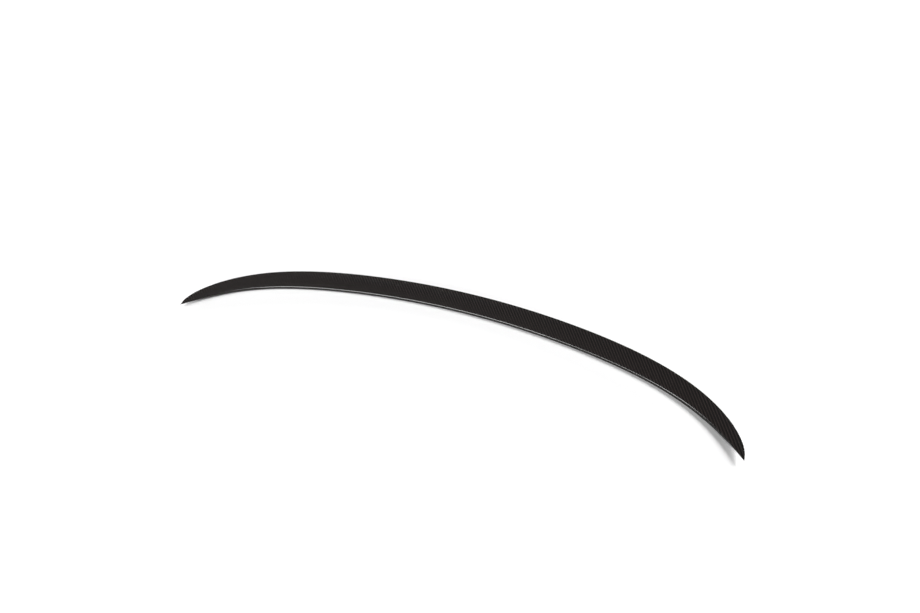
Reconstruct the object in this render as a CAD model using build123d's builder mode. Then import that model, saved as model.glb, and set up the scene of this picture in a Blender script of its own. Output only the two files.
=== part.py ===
"""Slim boot-lid spoiler: one moulded carbon-fibre blade.

The blade is a swept crescent that tapers to a raised tip at each end. Its top rises from a low,
rounded leading edge to a raised lip along the back. Underneath it is hollow, between a front and
a rear land that are ground flat to be bonded to a boot lid.

X runs along the span, Y towards the back and Z up. The origin is under the middle of the part's
box, on the plane of the two lands.
"""

import os
from math import atan, cos, pi, radians, sin, sqrt, tan

from build123d import *

# Plan shape, in millimetres
SPAN = 1240.0  # tip to tip, before the tips are blunted
DEPTH = 57.5  # front to back at the middle
BOW = 126.0  # forward sweep of the tips along an even curve
HOOK = 78.0  # further forward sweep, near the tips
HOOK_POWER = 7.5  # how late the hook sets in
TAPER_POWER = 20.0  # how late the blade narrows to its tips
TAPER_ROUND = 3.0  # how full the tips stay as it narrows
TIP_FLAT = 12.0  # front to back at the blunt end of a tip

# Section at the middle, in millimetres
LEAD_HEIGHT = 5.0  # leading edge above the plane of the lands
SHOULDER_RADIUS = 6.0  # top of the leading edge
LEAD_RADIUS = 2.0  # tighter front of the leading edge
LIP_HEIGHT = 12.0  # rear lip above the plane of the lands
LIP_RADIUS = 3.0  # top of the rear lip
LIP_UNDER_RADIUS = 1.5  # tighter underside of the rear lip
REAR_LEAN = 20.0  # degrees that the rear face leans in under the lip
FLAT_CUT = 1.0  # depth ground off the moulded underside to make the lands

# Section at the tips, in millimetres
TIP_LIFT = 8.0  # underside above the plane of the lands
LIFT_POWER = 12.0  # how late the tips lift
TIP_LEAD = 1.5  # leading edge above the underside
TIP_LIP = 4.5  # rear lip above the underside
LEAD_THIN_POWER = 14.0  # how late the leading edge thins
LIP_THIN_POWER = 4.0  # how late the rear lip thins
TIP_ROUND = 0.33  # how softly the section thins at the blunt end

# Hollow underside, in millimetres
WALL = 2.0  # laminate over the hollow
FRONT_LAND = 12.0  # bonding land behind the leading edge
REAR_LAND = 12.0  # bonding land in front of the rear face
HOLLOW_DRAFT = 30.0  # degrees that the hollow's sides lean
HOLLOW_END_GAP = 40.0  # solid length at each tip
HOLLOW_END_SHARE = 0.2  # width and depth left at the ends of the hollow

BLADE_STATIONS = 41  # sections that the blade is lofted through
HOLLOW_STATIONS = 31  # sections that the hollow is lofted through

half_span = SPAN / 2
hollow_half_length = half_span - HOLLOW_END_GAP


def sweep(share):
    """How far the leading edge lies forward of its middle, at a share of the half span."""
    return BOW * share**2 + HOOK * share**HOOK_POWER


def taper(share):
    """Share of the middle's size that is left near a rounded end."""
    return (1 - share**TAPER_POWER) ** (1 / TAPER_ROUND)


def taper_reach(size_share):
    """Share of the half length where the taper has come down to a share of the middle's size."""
    return (1 - size_share**TAPER_ROUND) ** (1 / TAPER_POWER)


def thinned(middle_size, tip_size, thin_power, share):
    """A height of the section, which falls towards the tips."""
    height = tip_size + (middle_size - tip_size) * (1 - share**thin_power)
    return height * taper(share) ** TIP_ROUND


def stations(half_length, count):
    """Places along the span that crowd towards both ends."""
    return [half_length * sin(pi * (i / (count - 1) - 0.5)) for i in range(count)]


tip_reach = taper_reach(TIP_FLAT / DEPTH)
front_y = (sweep(tip_reach) - DEPTH) / 2


class Section:
    """Outline of the blade at one place along the span, as (Y, Z) points."""

    def __init__(self, x):
        share = abs(x) / half_span
        soft = sqrt(taper(share))
        lean = radians(REAR_LEAN)
        front = front_y - sweep(share)
        back = front + DEPTH * taper(share)
        bottom = (TIP_LIFT + FLAT_CUT) * share**LIFT_POWER - FLAT_CUT
        lead_height = thinned(LEAD_HEIGHT + FLAT_CUT, TIP_LEAD, LEAD_THIN_POWER, share)
        lead_share = soft * lead_height / (LEAD_HEIGHT + FLAT_CUT)
        shoulder_radius = SHOULDER_RADIUS * lead_share
        lead_radius = LEAD_RADIUS * lead_share
        lip_height = thinned(LIP_HEIGHT + FLAT_CUT, TIP_LIP, LIP_THIN_POWER, share)
        lip_share = soft * lip_height / (LIP_HEIGHT + FLAT_CUT)
        lip_radius = LIP_RADIUS * lip_share
        under_radius = LIP_UNDER_RADIUS * lip_share
        diagonal = sin(pi / 4)
        lead_shift = (shoulder_radius - lead_radius) * diagonal
        shoulder_y = front + lead_radius + lead_shift
        shoulder_z = bottom + lead_height - shoulder_radius
        nose_shift = (lip_radius - under_radius) * diagonal
        lip_y = back - under_radius - nose_shift
        lip_z = bottom + lip_height - lip_radius
        under_y = lip_y + nose_shift
        under_z = lip_z + nose_shift
        slope = 2 * atan((lip_height - lead_height) / (lip_y - shoulder_y))

        self.toe = (front, bottom)
        self.lead_start = (front, shoulder_z + lead_shift)
        self.lead_nose = (shoulder_y - shoulder_radius * diagonal, shoulder_z + shoulder_radius * diagonal)
        self.lead_end = (shoulder_y, bottom + lead_height)
        self.skin_end = (lip_y - lip_radius * sin(slope), lip_z + lip_radius * cos(slope))
        self.nose = (lip_y + lip_radius * diagonal, lip_z + lip_radius * diagonal)
        self.rear_top = (under_y + under_radius * cos(lean), under_z - under_radius * sin(lean))
        self.heel = (self.rear_top[0] - tan(lean) * (self.rear_top[1] - bottom), bottom)

    def skin_height(self, y):
        """Height of the top skin, which starts level at the front and curves up to the lip."""
        run = self.skin_end[0] - self.lead_end[0]
        rise = self.skin_end[1] - self.lead_end[1]
        return self.lead_end[1] + rise * ((y - self.lead_end[0]) / run) ** 2


class HollowSection:
    """Outline of the hollow at one place along the span, as (Y, Z) points."""

    def __init__(self, x):
        blade_section = Section(x)
        size = taper(abs(x) / hollow_half_length)
        front = blade_section.toe[0] + FRONT_LAND
        back = blade_section.heel[0] - REAR_LAND
        middle = (front + back) / 2
        half_width = size * (back - front) / 2
        mouth = max(0, blade_section.toe[1])
        depth = size * (blade_section.skin_height(middle) - WALL - mouth)
        tilt = size * (blade_section.skin_height(back) - blade_section.skin_height(front)) / 2
        draft = tan(radians(HOLLOW_DRAFT))
        below = LIP_HEIGHT
        roof_half_width = half_width - draft * depth
        mouth_half_width = half_width + draft * below

        self.front_low = (middle - mouth_half_width, mouth - below)
        self.front_high = (middle - roof_half_width, mouth + depth - tilt * roof_half_width / half_width)
        self.back_high = (middle + roof_half_width, mouth + depth + tilt * roof_half_width / half_width)
        self.back_low = (middle + mouth_half_width, mouth - below)


with BuildPart() as blade:
    # Outer form, with the middle of its underside still below the plane of the lands
    for x in stations(half_span * tip_reach, BLADE_STATIONS):
        outline = Section(x)
        with BuildSketch(Plane.YZ.offset(x)):
            with BuildLine():
                Line(outline.toe, outline.lead_start)
                TangentArc(outline.lead_start, outline.lead_nose, tangent=(0, 1))
                TangentArc(outline.lead_nose, outline.lead_end, tangent=(1, 1))
                TangentArc(outline.lead_end, outline.skin_end, tangent=(1, 0))
                TangentArc(outline.nose, outline.skin_end, tangent=(-1, 1))
                TangentArc(outline.nose, outline.rear_top, tangent=(1, -1))
                Polyline(outline.rear_top, outline.heel, outline.toe)
            make_face()
    loft()

    # Hollow, open downwards between the two lands
    for x in stations(hollow_half_length * taper_reach(HOLLOW_END_SHARE), HOLLOW_STATIONS):
        outline = HollowSection(x)
        with BuildSketch(Plane.YZ.offset(x)):
            with BuildLine():
                Polyline(
                    outline.front_low,
                    outline.front_high,
                    outline.back_high,
                    outline.back_low,
                    close=True,
                )
            make_face()
    loft(mode=Mode.SUBTRACT)

    # Bonding lands, ground flat
    split(bisect_by=Plane.XY, keep=Keep.TOP)

blade.part.label = "spoiler_blade"

os.makedirs("parts", exist_ok=True)
export_step(blade.part, "parts/spoiler_blade.step")
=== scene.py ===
"""Looks of a slim carbon-fibre boot-lid spoiler: the dressed blade, a white studio and the camera.

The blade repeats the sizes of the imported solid, in millimetres, and its mesh is in metres. X runs
along the span, Y towards the back and Z up. The plane of the bonding lands is at zero height.
"""

import logging
from dataclasses import dataclass
from enum import Enum
from math import atan, atan2, cos, hypot, pi, radians, sin, sqrt, tan

import bmesh
import bpy
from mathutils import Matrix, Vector


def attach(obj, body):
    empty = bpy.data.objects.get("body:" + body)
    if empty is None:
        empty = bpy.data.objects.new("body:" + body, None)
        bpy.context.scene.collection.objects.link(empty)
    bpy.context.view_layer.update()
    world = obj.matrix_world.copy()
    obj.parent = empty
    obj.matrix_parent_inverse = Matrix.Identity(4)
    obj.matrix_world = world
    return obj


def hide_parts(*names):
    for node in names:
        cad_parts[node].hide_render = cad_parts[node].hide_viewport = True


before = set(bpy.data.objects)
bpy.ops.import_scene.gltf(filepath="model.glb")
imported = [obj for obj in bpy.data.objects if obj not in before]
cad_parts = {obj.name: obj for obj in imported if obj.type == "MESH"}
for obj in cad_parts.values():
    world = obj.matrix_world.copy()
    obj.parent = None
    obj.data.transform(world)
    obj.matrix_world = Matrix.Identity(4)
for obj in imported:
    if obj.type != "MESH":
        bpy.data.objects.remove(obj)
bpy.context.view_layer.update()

log = logging.getLogger("spoiler")

Socket = bpy.types.NodeSocket
Color = tuple[float, float, float, float]
Point = tuple[float, float, float]
Pair = tuple[float, float]

MILLIMETRE = 0.001  # metres
CLOTH_MAP = "cloth"  # UV map that counts tows along the two directions of the cloth
TOWS_OVER = 2.0  # tows that each tow passes over, before it passes under as many
STREAK_STRETCH = 0.35  # fibre streaks along a tow, for each width of a tow
STREAK_DETAIL = 2.0  # octaves of finer streaks
DIAGONAL = pi / 4  # where the two radii of a rounded edge meet


class Finish(Enum):
    """Finishes of the blade, in the order of its material slots."""

    GLOSS_TWILL = 0
    BARE_CLOTH = 1
    GROUND_LAND = 2


class NodeSheet:
    """Node tree, with short calls for the nodes that the finishes and the studio share."""

    def __init__(self, tree: bpy.types.NodeTree) -> None:
        """Empties the tree of a material or of the room."""
        self.tree = tree
        self.tree.nodes.clear()

    def node(self, kind: str) -> bpy.types.Node:
        """Adds a node, by the end of Blender's name for its kind."""
        return self.tree.nodes.new("ShaderNode" + kind)

    def feed(self, socket: Socket, value: Socket | float | tuple) -> None:
        """Links a socket to another one, or sets its constant.

        Args:
            socket: Input that is fed.
            value: Output that it is linked to, or its constant.
        """
        if isinstance(value, Socket):
            self.tree.links.new(value, socket)
        else:
            socket.default_value = value

    def place(self, kind: str) -> Socket:
        """Place of a point of the surface, in one of Blender's kinds of coordinates."""
        return self.node("TexCoord").outputs[kind]

    def split(self, vector: Socket) -> tuple[Socket, Socket, Socket]:
        """Splits a vector.

        Args:
            vector: Vector that is split.

        Returns:
            Its X, Y and Z.
        """
        node = self.node("SeparateXYZ")
        self.feed(node.inputs["Vector"], vector)
        return node.outputs["X"], node.outputs["Y"], node.outputs["Z"]

    def join(self, x: Socket | float, y: Socket | float) -> Socket:
        """Joins two values into a flat vector.

        Args:
            x: Value along X.
            y: Value along Y.

        Returns:
            The vector.
        """
        node = self.node("CombineXYZ")
        self.feed(node.inputs["X"], x)
        self.feed(node.inputs["Y"], y)
        return node.outputs["Vector"]

    def math(self, operation: str, *values: Socket | float) -> Socket:
        """Adds a Math node.

        Args:
            operation: Blender's name of the operation.
            values: Sockets or numbers for its inputs.

        Returns:
            The node's result.
        """
        node = self.node("Math")
        node.operation = operation
        for socket, value in zip(node.inputs, values):
            self.feed(socket, value)
        return node.outputs[0]

    def blend(
        self, factor: Socket | float, first: Socket | Color, second: Socket | Color, way: str = "MIX"
    ) -> Socket:
        """Adds a colour Mix node.

        Args:
            factor: Share of the second colour.
            first: Colour at a factor of 0.
            second: Colour at a factor of 1.
            way: Blender's name of the way of mixing.

        Returns:
            The mixed colour.
        """
        node = self.node("Mix")
        node.data_type = "RGBA"
        node.blend_type = way
        self.feed(node.inputs["Factor"], factor)
        self.feed(node.inputs["A"], first)
        self.feed(node.inputs["B"], second)
        return node.outputs["Result"]

    def noise(self, vector: Socket, scale: float, detail: float) -> Socket:
        """Adds a Noise Texture.

        Args:
            vector: Place that the noise is read at.
            scale: Waves for each unit of that place.
            detail: Octaves of finer noise.

        Returns:
            The noise, from 0 to 1.
        """
        node = self.node("TexNoise")
        node.inputs["Scale"].default_value = scale
        node.inputs["Detail"].default_value = detail
        self.feed(node.inputs["Vector"], vector)
        return node.outputs["Fac"]

    def span(self, value: Socket, low: float, high: float) -> Socket:
        """Spreads a value from 0..1 to low..high."""
        return self.math("MULTIPLY_ADD", value, high - low, low)

    def ramp(self, value: Socket, reach: Pair, ends: tuple[Socket | float, Socket | float]) -> Socket:
        """Adds a smooth Map Range node.

        Args:
            value: Value that moves along the ramp.
            reach: Values at the two ends of the ramp.
            ends: Results at the two ends of the ramp.

        Returns:
            The node's result.
        """
        node = self.node("MapRange")
        node.interpolation_type = "SMOOTHSTEP"
        self.feed(node.inputs["Value"], value)
        for name, limit in zip(("From Min", "From Max", "To Min", "To Max"), (*reach, *ends)):
            self.feed(node.inputs[name], limit)
        return node.outputs["Result"]


class MaterialSheet(NodeSheet):
    """Node tree of one material, with one shader."""

    def __init__(self, name: str) -> None:
        """Starts a material that holds one shader and its output.

        Args:
            name: Name of the material.
        """
        self.material = bpy.data.materials.new(name)
        self.material.use_nodes = True
        super().__init__(self.material.node_tree)
        self.shader = self.node("BsdfPrincipled")
        self.feed(self.node("OutputMaterial").inputs["Surface"], self.shader.outputs["BSDF"])

    def dress(self, name: str, value: Socket | float | tuple) -> None:
        """Feeds one of the shader's own sockets."""
        self.feed(self.shader.inputs[name], value)

    def relief(self, height: Socket, depth: float, strength: float) -> None:
        """Feeds the shader's normal with a bump.

        Args:
            height: Height of the relief, from 0 to 1.
            depth: Metres between the lowest and highest places.
            strength: Share of the bump that shows.
        """
        node = self.node("Bump")
        node.inputs["Distance"].default_value = depth
        node.inputs["Strength"].default_value = strength
        self.feed(node.inputs["Height"], height)
        self.dress("Normal", node.outputs["Normal"])


@dataclass(frozen=True)
class TwillPattern:
    """Sockets that describe a place on a two-by-two twill."""

    warp: Socket  # 1 where a warp tow lies on top, 0 where a weft tow does
    height: Socket  # rise of the tow on top, from 0 to 1
    fibres: Socket  # streaks along the tow on top, from 0 to 1

    @classmethod
    def on(cls, sheet: NodeSheet, streaks_per_tow: float) -> "TwillPattern":
        """Adds the nodes of the pattern to a material.

        Args:
            sheet: Material that gets the nodes.
            streaks_per_tow: Fibre streaks across the width of a tow.

        Returns:
            The pattern's sockets.
        """
        cloth = sheet.node("UVMap")
        cloth.uv_map = CLOTH_MAP
        across, along, _ = sheet.split(cloth.outputs["UV"])

        warp_phase = cls._phase(sheet, along, across)
        weft_phase = cls._phase(sheet, across, along)
        warp = sheet.math("LESS_THAN", warp_phase, TOWS_OVER)
        warp_height = cls._tow_height(sheet, warp_phase, across)
        weft_height = cls._tow_height(sheet, sheet.math("SUBTRACT", weft_phase, TOWS_OVER), along)
        warp_fibres = cls._streaks(sheet, across, along, (streaks_per_tow, STREAK_STRETCH))
        weft_fibres = cls._streaks(sheet, across, along, (STREAK_STRETCH, streaks_per_tow))
        return cls(
            warp,
            cls._choose(sheet, warp, warp_height, weft_height),
            cls._choose(sheet, warp, warp_fibres, weft_fibres),
        )

    @staticmethod
    def _phase(sheet: NodeSheet, along: Socket, across: Socket) -> Socket:
        """Place of a point along the repeat of its tow, which steps by one tow from each to the next."""
        shifted = sheet.math("ADD", along, sheet.math("FLOOR", across))
        return sheet.math("FLOORED_MODULO", shifted, 2 * TOWS_OVER)

    @staticmethod
    def _tow_height(sheet: NodeSheet, phase: Socket, across: Socket) -> Socket:
        """Height of a tow that passes over others.

        Args:
            sheet: Material that gets the nodes.
            phase: Place along the stretch on top, in tows.
            across: Place across the tow, in tows.

        Returns:
            The height, from 0 to 1.
        """
        wave = sheet.math("SINE", sheet.math("MULTIPLY", phase, pi / TOWS_OVER))
        arch = sheet.math("SQRT", sheet.math("MAXIMUM", wave, 0.0))
        bulge = sheet.math("SINE", sheet.math("MULTIPLY", sheet.math("FRACT", across), pi))
        return sheet.math("MULTIPLY", arch, sheet.math("SQRT", bulge))

    @staticmethod
    def _streaks(sheet: NodeSheet, across: Socket, along: Socket, counts: Pair) -> Socket:
        """Streaks of the fibres in one direction of the cloth.

        Args:
            sheet: Material that gets the nodes.
            across: Place along the weft, in tows.
            along: Place along the warp, in tows.
            counts: Streaks for each tow's width, along the weft and along the warp.

        Returns:
            The streaks, from 0 to 1.
        """
        x = sheet.math("MULTIPLY", across, counts[0])
        y = sheet.math("MULTIPLY", along, counts[1])
        return sheet.noise(sheet.join(x, y), 1.0, STREAK_DETAIL)

    @staticmethod
    def _choose(sheet: NodeSheet, warp: Socket, warp_value: Socket, weft_value: Socket) -> Socket:
        """Takes the warp's value where a warp tow lies on top, and the weft's elsewhere."""
        rest = sheet.math("MULTIPLY", sheet.math("SUBTRACT", 1.0, warp), weft_value)
        return sheet.math("MULTIPLY_ADD", warp, warp_value, rest)


@dataclass(frozen=True)
class GlossTwill:
    """Clear-coated twill of black carbon fibre."""

    # Weft tows are painted lighter than warp tows: painted sheen and shade in place of the fibres'
    # directional reflection
    warp_shade_color: Color = (0.0050, 0.0043, 0.0041, 1.0)
    weft_sheen_color: Color = (0.0322, 0.0252, 0.0237, 1.0)
    streaks_per_tow: float = 9.0
    streak_share: float = 0.35  # how much the fibres vary the colour
    gap_share: float = 0.45  # how much darker the gaps between tows are
    smooth_roughness: float = 0.16
    rough_roughness: float = 0.28
    tow_relief: float = 0.0002  # metres
    relief_strength: float = 0.6
    cloth_ior: float = 1.5
    cloth_specular: float = 0.25  # low, because the cloth lies in resin
    coat_roughness: float = 0.035
    coat_ior: float = 1.5

    def material(self) -> bpy.types.Material:
        """Makes the material.

        Returns:
            The finished material.
        """
        sheet = MaterialSheet("gloss_carbon_twill")
        twill = TwillPattern.on(sheet, self.streaks_per_tow)
        # Painted sheen: weft tows take the lighter colour and warp tows the darker one
        tow_color = sheet.blend(twill.warp, self.weft_sheen_color, self.warp_shade_color)
        streaks = sheet.span(twill.fibres, 1.0 - self.streak_share, 1.0 + self.streak_share)
        gaps = sheet.span(twill.height, 1.0 - self.gap_share, 1.0)
        shade = sheet.math("MULTIPLY", streaks, gaps)
        sheet.dress("Base Color", sheet.blend(1.0, tow_color, shade, "MULTIPLY"))
        sheet.dress("Roughness", sheet.span(twill.fibres, self.smooth_roughness, self.rough_roughness))
        sheet.relief(twill.height, self.tow_relief, self.relief_strength)
        sheet.dress("IOR", self.cloth_ior)
        sheet.dress("Specular IOR Level", self.cloth_specular)
        sheet.dress("Coat Weight", 1.0)
        sheet.dress("Coat Roughness", self.coat_roughness)
        sheet.dress("Coat IOR", self.coat_ior)
        return sheet.material


@dataclass(frozen=True)
class BareCloth:
    """Uncoated back of the laminate, with resin lying unevenly in the cloth."""

    tow_color: Color = (0.040, 0.040, 0.041, 1.0)
    resin_color: Color = (0.018, 0.018, 0.019, 1.0)
    streaks_per_tow: float = 7.0
    streak_shades: Pair = (0.6, 1.2)  # darkest and lightest fibres
    pool_scale: float = 70.0  # pools of resin for each metre
    pool_detail: float = 3.0
    resin_level: float = 1.3  # level of the resin, on tows that rise from 0 to 1
    cloth_roughness: float = 0.72
    resin_roughness: float = 0.42
    tow_relief: float = 0.0003  # metres
    relief_strength: float = 0.8

    def material(self) -> bpy.types.Material:
        """Makes the material.

        Returns:
            The finished material.
        """
        sheet = MaterialSheet("bare_carbon_cloth")
        twill = TwillPattern.on(sheet, self.streaks_per_tow)
        pools = sheet.noise(sheet.place("Object"), self.pool_scale, self.pool_detail)
        resin = sheet.math("MULTIPLY", pools, sheet.math("SUBTRACT", self.resin_level, twill.height))
        shade = sheet.span(twill.fibres, *self.streak_shades)
        shaded_tow = sheet.blend(1.0, self.tow_color, shade, "MULTIPLY")
        sheet.dress("Base Color", sheet.blend(resin, shaded_tow, self.resin_color))
        sheet.dress("Roughness", sheet.span(resin, self.cloth_roughness, self.resin_roughness))
        sheet.relief(twill.height, self.tow_relief, self.relief_strength)
        return sheet.material


@dataclass(frozen=True)
class GroundLand:
    """Bonding land, ground flat through the resin into the cloth."""

    low_color: Color = (0.028, 0.028, 0.029, 1.0)
    high_color: Color = (0.062, 0.061, 0.060, 1.0)
    streaks_per_tow: float = 7.0
    tow_shades: Pair = (0.7, 1.0)  # weft and warp tows
    smooth_roughness: float = 0.50
    rough_roughness: float = 0.78
    scratch_turn: float = 8.0  # degrees
    scratch_scale: Point = (40.0, 2600.0, 1.0)  # scratches for each metre, along and across them
    scratch_detail: float = 2.0
    scratch_depth: float = 0.00004  # metres
    relief_strength: float = 0.7

    def material(self) -> bpy.types.Material:
        """Makes the material.

        Returns:
            The finished material.
        """
        sheet = MaterialSheet("ground_carbon_land")
        twill = TwillPattern.on(sheet, self.streaks_per_tow)
        turned = sheet.node("Mapping")
        turned.inputs["Rotation"].default_value = (0.0, 0.0, radians(self.scratch_turn))
        turned.inputs["Scale"].default_value = self.scratch_scale
        sheet.feed(turned.inputs["Vector"], sheet.place("Object"))
        scratches = sheet.noise(turned.outputs["Vector"], 1.0, self.scratch_detail)
        shade = sheet.math("MULTIPLY", scratches, sheet.span(twill.warp, *self.tow_shades))
        sheet.dress("Base Color", sheet.blend(shade, self.low_color, self.high_color))
        sheet.dress("Roughness", sheet.span(scratches, self.smooth_roughness, self.rough_roughness))
        sheet.relief(scratches, self.scratch_depth, self.relief_strength)
        return sheet.material


@dataclass
class Cloth:
    """Lie of the cloth on the blade: its weft follows a wide circle that the blade is swept along."""

    tow: float = 2.0  # width of a tow, in millimetres
    circle_radius: float = 2240.0  # millimetres
    circle_x: float = -332.0  # where the warp runs straight back, in millimetres

    def place(self, x: float, y: float) -> Pair:
        """Counts tows to a place on the developed skin.

        Args:
            x: Place along the span, in millimetres.
            y: Place behind the middle of the leading edge, along the skin, in millimetres.

        Returns:
            Tows along the weft and along the warp.
        """
        side, reach = x - self.circle_x, y + self.circle_radius
        along_weft = self.circle_radius * atan2(side, reach)
        along_warp = hypot(side, reach) - self.circle_radius
        return along_weft / self.tow, along_warp / self.tow


@dataclass(frozen=True)
class Run:
    """Stretch of a section's outline that has one finish, as (Y, Z) points."""

    finish: Finish
    points: list[Vector]


@dataclass(frozen=True)
class CoatedSide:
    """Coated side of a section, from its front over the top to its back, as (Y, Z) points."""

    toe: Vector  # front corner of the underside
    front: list[Vector]  # rounded leading edge
    skin: list[Vector]  # top skin, level at its front and curved up to the lip
    lip: list[Vector]  # rounded lip, as far as the rear face
    heel: Vector  # rear corner of the underside
    skin_start: float  # Y where the top skin starts
    skin_run: float  # length of the top skin along Y

    def skin_height(self, y: float) -> float:
        """Height of the top skin, near enough, at a place from front to back."""
        rise = self.skin[-1].y - self.skin[0].y
        return self.skin[0].y + rise * ((y - self.skin_start) / self.skin_run) ** 2


@dataclass
class Blade:
    """The moulded blade, as sections along its span. Sizes are in millimetres."""

    span: float = 1240.0
    depth: float = 57.5
    bow: float = 126.0
    hook: float = 78.0
    hook_power: float = 7.5
    taper_power: float = 20.0
    taper_round: float = 3.0
    tip_flat: float = 12.0

    lead_height: float = 5.0
    shoulder_radius: float = 6.0
    lead_radius: float = 2.0
    lip_height: float = 12.0
    lip_radius: float = 3.0
    lip_under_radius: float = 1.5
    rear_lean: float = 20.0  # degrees
    flat_cut: float = 1.0

    tip_lift: float = 8.0
    lift_power: float = 12.0
    tip_lead: float = 1.5
    tip_lip: float = 4.5
    lead_thin_power: float = 14.0
    lip_thin_power: float = 4.0
    tip_round: float = 0.33

    wall: float = 2.0
    front_land: float = 12.0
    rear_land: float = 12.0
    hollow_draft: float = 30.0  # degrees
    hollow_end_gap: float = 40.0
    hollow_end_share: float = 0.2

    edge_radius: float = 0.5  # broken edges of the lands and the hollow
    edge_limit: float = 0.4  # most that a broken edge takes of the runs beside it
    tip_edge: float = 0.5  # broken edge round each blunt tip
    hollow_end_slope: float = 0.6  # length of the hollow's end walls
    solid_shares: tuple[float, ...] = (0.35, 0.4, 0.6, 0.65)  # hollow's corners where the tip is solid
    straight_shares: tuple[float, ...] = (0.06, 0.5, 0.94, 1.0)  # points of a straight run

    station_count: int = 181
    lead_steps: int = 5
    shoulder_steps: int = 9
    skin_steps: int = 16
    lip_steps: int = 7
    lip_under_steps: int = 5
    edge_steps: int = 4
    tip_edge_steps: int = 2
    merge_distance: float = 0.002

    def __post_init__(self) -> None:
        """Works out the sizes that follow from the others."""
        self.half_span = self.span / 2
        self.tip_reach = self.taper_reach(self.tip_flat / self.depth)
        self.front_y = (self.sweep(self.tip_reach) - self.depth) / 2
        self.hollow_half_length = self.half_span - self.hollow_end_gap
        self.hollow_end = self.hollow_half_length * self.taper_reach(self.hollow_end_share)
        self.cloth = Cloth()

    def sweep(self, share: float) -> float:
        """How far the leading edge lies forward of its middle, at a share of the half span."""
        return self.bow * share**2 + self.hook * share**self.hook_power

    def taper(self, share: float) -> float:
        """Share of the middle's size that is left near a rounded end."""
        return (1 - share**self.taper_power) ** (1 / self.taper_round)

    def taper_reach(self, size_share: float) -> float:
        """Share of the half length where the taper has come down to a share of the size."""
        return (1 - size_share**self.taper_round) ** (1 / self.taper_power)

    def thinned(self, middle_size: float, tip_size: float, thin_power: float, share: float) -> float:
        """A height of the section, which falls towards the tips."""
        height = tip_size + (middle_size - tip_size) * (1 - share**thin_power)
        return height * self.taper(share) ** self.tip_round

    def stations(self) -> list[float]:
        """Places of the sections along the span, closer towards the tips.

        Returns:
            The places in order, with a pair at each end of the hollow.
        """
        reach = self.half_span * self.tip_reach
        turns = [pi * (i / (self.station_count - 1) - 0.5) for i in range(self.station_count)]
        places = [reach * sin(turn) for turn in turns]
        for end in (self.hollow_end, self.hollow_end + self.hollow_end_slope):
            places += [-end, end]
        return sorted(places)

    def underside(self, share: float) -> float:
        """Height of the moulded underside, which lies below the lands until they are ground flat."""
        return (self.tip_lift + self.flat_cut) * share**self.lift_power - self.flat_cut

    def coated_side(self, share: float) -> CoatedSide:
        """Coated side of the blade at one place.

        Args:
            share: Place along the span, as a share of the half span.

        Returns:
            The side, from its front over the top to its back.
        """
        soft = sqrt(self.taper(share))
        lean = radians(self.rear_lean)
        front = self.front_y - self.sweep(share)
        back = front + self.depth * self.taper(share)
        bottom = self.underside(share)
        ground = max(0.0, bottom)

        moulded_lead = self.lead_height + self.flat_cut
        lead_height = self.thinned(moulded_lead, self.tip_lead, self.lead_thin_power, share)
        lead_share = soft * lead_height / moulded_lead
        shoulder_radius = self.shoulder_radius * lead_share
        lead_radius = self.lead_radius * lead_share
        lead_shift = (shoulder_radius - lead_radius) * sin(DIAGONAL)
        shoulder_y = front + lead_radius + lead_shift
        shoulder_z = bottom + lead_height - shoulder_radius

        moulded_lip = self.lip_height + self.flat_cut
        lip_height = self.thinned(moulded_lip, self.tip_lip, self.lip_thin_power, share)
        lip_share = soft * lip_height / moulded_lip
        lip_radius = self.lip_radius * lip_share
        under_radius = self.lip_under_radius * lip_share
        nose_shift = (lip_radius - under_radius) * sin(DIAGONAL)
        lip_y = back - under_radius - nose_shift
        lip_z = bottom + lip_height - lip_radius

        slope = 2 * atan((lip_height - lead_height) / (lip_y - shoulder_y))
        skin_run = lip_y - lip_radius * sin(slope) - shoulder_y
        skin_radius = skin_run / sin(slope)

        lead_center = Vector((front + lead_radius, shoulder_z + lead_shift))
        shoulder_center = Vector((shoulder_y, shoulder_z))
        skin_center = Vector((shoulder_y, shoulder_z + shoulder_radius + skin_radius))
        lip_center = Vector((lip_y, lip_z))
        under_center = Vector((lip_y + nose_shift, lip_z + nose_shift))
        lead = self.arc(lead_center, lead_radius, pi, pi - DIAGONAL, self.lead_steps)
        shoulder = self.arc(shoulder_center, shoulder_radius, pi - DIAGONAL, pi / 2, self.shoulder_steps)
        skin = self.arc(skin_center, skin_radius, -pi / 2, slope - pi / 2, self.skin_steps)
        lip_top = self.arc(lip_center, lip_radius, pi / 2 + slope, DIAGONAL, self.lip_steps)
        lip_under = self.arc(under_center, under_radius, DIAGONAL, -lean, self.lip_under_steps)

        rear_top = lip_under[-1]
        return CoatedSide(
            toe=Vector((front, ground)),
            front=[*lead, *shoulder[1:]],
            skin=skin,
            lip=[*lip_top, *lip_under[1:]],
            heel=Vector((rear_top.x - tan(lean) * (rear_top.y - ground), ground)),
            skin_start=shoulder_y,
            skin_run=skin_run,
        )

    def section(self, x: float) -> list[Run]:
        """Outline of the blade at one place, once round from the middle of the underside.

        Args:
            x: Place along the span.

        Returns:
            The runs of the outline, each of which starts where the last one ends.
        """
        share = abs(x) / self.half_span
        side = self.coated_side(share)
        rear_top = side.lip[-1]
        front_low, front_high, back_high, back_low = self.hollow(x, side)
        middle = (front_high + back_high) / 2

        broken = self.edge_radius * sqrt(self.taper(share))
        roof_front = self.rounded(front_high, middle, front_low, broken)
        mouth_front = self.rounded(front_low, front_high, side.toe, broken)
        toe_edge = self.rounded(side.toe, front_low, side.front[0], broken)
        heel_edge = self.rounded(side.heel, rear_top, back_low, broken)
        mouth_back = self.rounded(back_low, side.heel, back_high, broken)
        roof_back = self.rounded(back_high, back_low, middle, broken)

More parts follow.
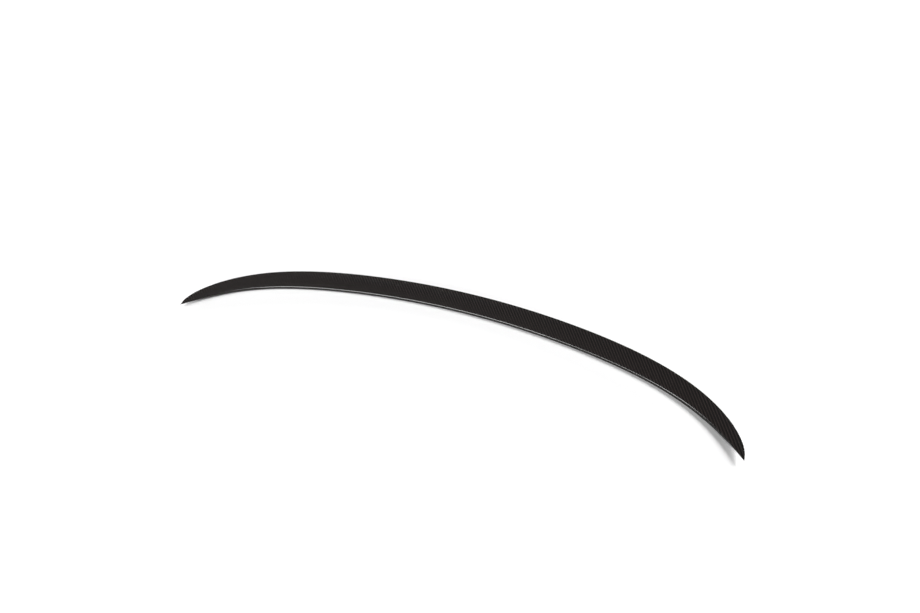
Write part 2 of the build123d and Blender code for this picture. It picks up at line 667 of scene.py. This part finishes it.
        under = Finish.GROUND_LAND if self.underside(share) < 0 else Finish.BARE_CLOTH
        return [
            Run(Finish.BARE_CLOTH, [middle, *roof_front]),
            Run(Finish.BARE_CLOTH, mouth_front),
            Run(under, self.straight(mouth_front[-1], toe_edge[0])),
            Run(Finish.GLOSS_TWILL, [*toe_edge[1:], *side.front, *side.skin[1:], *side.lip[1:]]),
            Run(Finish.GLOSS_TWILL, self.straight(rear_top, heel_edge[0])),
            Run(Finish.GLOSS_TWILL, heel_edge[1:]),
            Run(under, self.straight(heel_edge[-1], mouth_back[0])),
            Run(Finish.BARE_CLOTH, [*mouth_back[1:], *roof_back, middle]),
        ]

    def hollow(self, x: float, side: CoatedSide) -> list[Vector]:
        """Corners of the hollow at one place, or four points on the flat underside past its ends.

        Args:
            x: Place along the span.
            side: Coated side over the hollow.

        Returns:
            The lower front, upper front, upper back and lower back corners.
        """
        if abs(x) > self.hollow_end + self.hollow_end_slope / 2:
            return [side.toe.lerp(side.heel, share) for share in self.solid_shares]
        size = self.taper(abs(x) / self.hollow_half_length)
        ground = side.toe.y
        front = side.toe.x + self.front_land
        back = side.heel.x - self.rear_land
        middle = (front + back) / 2
        half_width = size * (back - front) / 2
        hollow_depth = size * (side.skin_height(middle) - self.wall - ground)
        tilt = size * (side.skin_height(back) - side.skin_height(front)) / 2
        roof = half_width - tan(radians(self.hollow_draft)) * hollow_depth
        roof_z = ground + hollow_depth
        roof_tilt = tilt * roof / half_width
        return [
            Vector((middle - half_width, ground)),
            Vector((middle - roof, roof_z - roof_tilt)),
            Vector((middle + roof, roof_z + roof_tilt)),
            Vector((middle + half_width, ground)),
        ]

    @staticmethod
    def arc(center: Vector, radius: float, start: float, end: float, count: int) -> list[Vector]:
        """Points along an arc, from one angle to another in a count of steps."""
        angles = [start + (end - start) * i / count for i in range(count + 1)]
        return [center + radius * Vector((cos(angle), sin(angle))) for angle in angles]

    def straight(self, start: Vector, end: Vector) -> list[Vector]:
        """Points along a straight run, near both of its ends so that flat faces shade flat."""
        return [start.lerp(end, share) for share in self.straight_shares]

    def rounded(self, corner: Vector, before: Vector, after: Vector, radius: float) -> list[Vector]:
        """Points of a small round between two straight runs.

        Args:
            corner: Corner that is rounded.
            before: Point on the run that leads to the corner.
            after: Point on the run that leaves the corner.
            radius: Reach of the round along each run.

        Returns:
            The points in order.
        """
        to_before, to_after = before - corner, after - corner
        reach = min(radius, self.edge_limit * to_before.length, self.edge_limit * to_after.length)
        start = corner + to_before.normalized() * reach
        end = corner + to_after.normalized() * reach
        shares = [i / self.edge_steps for i in range(self.edge_steps + 1)]
        return [start.lerp(corner, share).lerp(corner.lerp(end, share), share) for share in shares]

    def build(self) -> bpy.types.Object:
        """Bends a grid round the sections, closes it and lays the cloth on it.

        Returns:
            The blade's object.
        """
        places = self.stations()
        outlines = [self.section(x) for x in places]
        points = [[point for run in outline for point in run.points] for outline in outlines]
        finishes = [[run.finish for run in outline for _ in run.points] for outline in outlines]
        skin_lengths = [self.developed(outline) for outline in points]

        mesh = bmesh.new()
        along, around = len(places) - 1, len(points[0]) - 1
        half = 0.5  # of the unit square that the grid starts as
        bmesh.ops.create_grid(mesh, x_segments=along, y_segments=around, size=half)
        grid = {
            vert: (round((vert.co.x + half) * along), round((vert.co.y + half) * around))
            for vert in mesh.verts
        }
        cloth_map = mesh.loops.layers.uv.new(CLOTH_MAP)
        for face in mesh.faces:
            corners = [grid[loop.vert] for loop in face.loops]
            station = min(corner[0] for corner in corners)
            face.material_index = finishes[station][max(corner[1] for corner in corners)].value
            for loop, (i, j) in zip(face.loops, corners):
                loop[cloth_map].uv = self.cloth.place(places[i], skin_lengths[i][j])
        for vert, (i, j) in grid.items():
            point = points[i][j]
            vert.co = Vector((places[i], point.x, point.y)) * MILLIMETRE

        bmesh.ops.remove_doubles(mesh, verts=mesh.verts, dist=self.merge_distance * MILLIMETRE)
        self.close_tips(mesh)
        bmesh.ops.recalc_face_normals(mesh, faces=mesh.faces)
        for face in mesh.faces:
            face.smooth = True
        return self.finished(mesh, "spoiler_blade_shell")

    def developed(self, outline: list[Vector]) -> list[float]:
        """Lengths along the skin behind the middle of the leading edge.

        Args:
            outline: Points of a section, once round from the middle of the underside.

        Returns:
            The length at each point.
        """
        lengths = [0.0]
        for start, end in zip(outline, outline[1:]):
            lengths.append(lengths[-1] + (end - start).length)
        tie_break = 0.001  # of two points that lie equally far forward, the higher one counts
        foremost = min(range(len(outline)), key=lambda i: outline[i].x - tie_break * outline[i].y)
        offset = outline[foremost].x - self.front_y - lengths[foremost]
        return [length + offset for length in lengths]

    def close_tips(self, mesh: bmesh.types.BMesh) -> None:
        """Fills the two blunt ends and breaks their edges.

        Args:
            mesh: Tube of the blade, open at both ends.
        """
        rim = [edge for edge in mesh.edges if edge.is_boundary]
        bmesh.ops.holes_fill(mesh, edges=rim, sides=0)
        bmesh.ops.bevel(
            mesh,
            geom=rim,
            offset=self.tip_edge * MILLIMETRE,
            offset_type="OFFSET",
            segments=self.tip_edge_steps,
            profile=0.5,
            affect="EDGES",
            material=-1,
            clamp_overlap=True,
        )

    @staticmethod
    def finished(mesh: bmesh.types.BMesh, name: str) -> bpy.types.Object:
        """Turns the mesh into an object with its finishes.

        Args:
            mesh: Finished mesh, in metres.
            name: Name of the piece.

        Returns:
            The object.
        """
        data = bpy.data.meshes.new(name)
        mesh.to_mesh(data)
        mesh.free()
        makers = {
            Finish.GLOSS_TWILL: GlossTwill(),
            Finish.BARE_CLOTH: BareCloth(),
            Finish.GROUND_LAND: GroundLand(),
        }
        for finish in Finish:
            data.materials.append(makers[finish].material())
        piece = bpy.data.objects.new(name, data)
        bpy.context.scene.collection.objects.link(piece)
        return piece


@dataclass(frozen=True)
class Lamp:
    """Soft rectangular lamp. Lengths are in metres."""

    name: str
    center: Point
    size: Pair
    power: float  # watts
    target: Point | None = None  # place that it faces, or none where it hangs straight down
    spread: float = 180.0  # degrees
    mirrored: bool = False  # whether the coat and the camera see it

    def hang(self) -> None:
        """Adds the lamp to the scene."""
        light = bpy.data.lights.new(self.name, "AREA")
        light.shape = "RECTANGLE"
        light.size, light.size_y = self.size
        light.energy = self.power
        light.spread = radians(self.spread)
        lamp = bpy.data.objects.new(self.name, light)
        lamp.location = self.center
        if self.target is not None:
            lamp.rotation_mode = "QUATERNION"
            lamp.rotation_quaternion = (Vector(self.target) - Vector(self.center)).to_track_quat("-Z", "Y")
        lamp.visible_camera = self.mirrored
        lamp.visible_glossy = self.mirrored
        bpy.context.scene.collection.objects.link(lamp)


@dataclass
class Studio:
    """White floor, soft lamps, dim room and the camera. Lengths are in metres."""

    floor_half_width: float = 40.0
    floor_drop: float = 0.0003  # below the lands
    floor_albedo: float = 0.9
    floor_glow_near: float = 0.02  # what the floor adds to its lit colour to be white, by the blade
    floor_glow_right: float = 0.0  # the same by the right tip, where the rear lamp falls
    floor_glow_far: float = 0.90  # the same away from the blade, where less light falls
    lamp_ramp: Pair = (0.1, 0.5)  # where the rear lamp sets in, along X
    near_middle: float = 0.10  # curved line through the blade, at its middle
    near_bend: float = 0.50  # how far that line comes forward at one metre from the middle
    near_half_length: float = 0.52
    near_ramp: Pair = (0.05, 0.19)  # where the floor stops counting as near, and is far

    softbox: Lamp = Lamp(
        "overhead_softbox", center=(-1.85, -0.85, 6.0), size=(1.5, 2.3), power=115.0, mirrored=True
    )
    rear_lamp: Lamp = Lamp(
        "rear_lamp", center=(2.20, 1.63, 0.99), size=(1.1, 0.65), power=128.0, target=(0.40, 0.0, 0.0)
    )
    left_lamp: Lamp = Lamp(
        "left_lamp",
        center=(-1.15, 0.35, 0.80),
        size=(1.2, 1.2),
        power=3.2,
        target=(-0.65, -0.10, 0.0),
        spread=100.0,
    )

    room_horizon: float = 0.6
    room_ceiling: float = 0.18
    room_rise: Pair = (0.1, 0.5)  # heights between which the walls turn into the ceiling
    room_right_share: float = 0.4  # light of the right half of the room, to that of the left half
    room_sides: Pair = (-0.25, 0.25)  # where the left half turns into the right half

    camera_target: Point = (-0.01676, 0.09192, 0.0)
    camera_azimuth: float = 20.06  # degrees
    camera_elevation: float = 42.65  # degrees
    camera_distance: float = 1.5584
    camera_lens: float = 26.413  # millimetres
    camera_sensor: float = 36.0  # millimetres

    def build(self) -> None:
        """Sets up the floor, the lamps, the room and the camera."""
        self.lay_floor()
        for lamp in (self.softbox, self.rear_lamp, self.left_lamp):
            lamp.hang()
        self.light_room()
        self.place_camera()

    def lay_floor(self) -> None:
        """Lays a floor that is white where it is lit and keeps the blade's shadow."""
        mesh = bmesh.new()
        bmesh.ops.create_grid(mesh, x_segments=2, y_segments=2, size=self.floor_half_width)
        bmesh.ops.translate(mesh, verts=mesh.verts, vec=(0.0, 0.0, -self.floor_drop))
        data = bpy.data.meshes.new("studio_floor")
        mesh.to_mesh(data)
        mesh.free()
        data.materials.append(self.floor_material())
        floor = bpy.data.objects.new("studio_floor", data)
        bpy.context.scene.collection.objects.link(floor)

    def floor_material(self) -> bpy.types.Material:
        """Makes a matt white that glows a little for what looks straight at it.

        Returns:
            The finished material.
        """
        sheet = MaterialSheet("studio_white")
        sheet.dress("Base Color", (self.floor_albedo,) * 3 + (1.0,))
        sheet.dress("Roughness", 1.0)
        sheet.dress("Specular IOR Level", 0.0)
        sheet.dress("Emission Color", (1.0, 1.0, 1.0, 1.0))

        rays = sheet.node("LightPath").outputs
        mirrored = sheet.math("MAXIMUM", rays["Is Glossy Ray"], rays["Is Transmission Ray"])
        seen = sheet.math("MAXIMUM", rays["Is Camera Ray"], mirrored)
        x, y, _ = sheet.split(sheet.place("Object"))
        line = sheet.math("MULTIPLY_ADD", sheet.math("MULTIPLY", x, x), -self.near_bend, self.near_middle)
        beside = sheet.math("ABSOLUTE", sheet.math("SUBTRACT", y, line))
        beyond = sheet.math("SUBTRACT", sheet.math("ABSOLUTE", x), self.near_half_length)
        away = sheet.math("MAXIMUM", beside, beyond)
        near_glow = sheet.ramp(x, self.lamp_ramp, (self.floor_glow_near, self.floor_glow_right))
        glow = sheet.ramp(away, self.near_ramp, (near_glow, self.floor_glow_far))
        sheet.dress("Emission Strength", sheet.math("MULTIPLY", seen, glow))
        return sheet.material

    def light_room(self) -> None:
        """Lights the room: pale walls down at the floor, dim towards the ceiling and on the right."""
        world = bpy.data.worlds.new("studio_room")
        world.use_nodes = True
        sheet = NodeSheet(world.node_tree)
        x, _, z = sheet.split(sheet.place("Generated"))
        level = sheet.ramp(z, self.room_rise, (self.room_horizon, self.room_ceiling))
        side = sheet.ramp(x, self.room_sides, (1.0, self.room_right_share))
        background = sheet.node("Background")
        sheet.feed(background.inputs["Strength"], sheet.math("MULTIPLY", level, side))
        sheet.feed(sheet.node("OutputWorld").inputs["Surface"], background.outputs["Background"])
        bpy.context.scene.world = world

    def place_camera(self) -> None:
        """Places the camera in front of the blade, above it and to the right."""
        data = bpy.data.cameras.new("photo_camera")
        data.sensor_width = self.camera_sensor
        data.lens = self.camera_lens
        camera = bpy.data.objects.new("photo_camera", data)
        turn, rise = radians(self.camera_azimuth), radians(self.camera_elevation)
        back = Vector((sin(turn) * cos(rise), -cos(turn) * cos(rise), sin(rise)))
        camera.location = Vector(self.camera_target) + back * self.camera_distance
        camera.rotation_mode = "QUATERNION"
        camera.rotation_quaternion = (-back).to_track_quat("-Z", "Y")
        bpy.context.scene.collection.objects.link(camera)
        bpy.context.scene.camera = camera


def main() -> None:
    """Builds the dressed blade and the studio."""
    logging.basicConfig(level=logging.INFO, format="%(name)s: %(message)s")
    bpy.context.scene.view_settings.view_transform = "Standard"

    shell = Blade().build()
    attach(shell, "root")
    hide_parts("spoiler_blade")
    log.info("%s: %d faces", shell.name, len(shell.data.polygons))

    Studio().build()
    log.info("studio: floor, three lamps, room and camera")


if __name__ == "__main__":
    main()
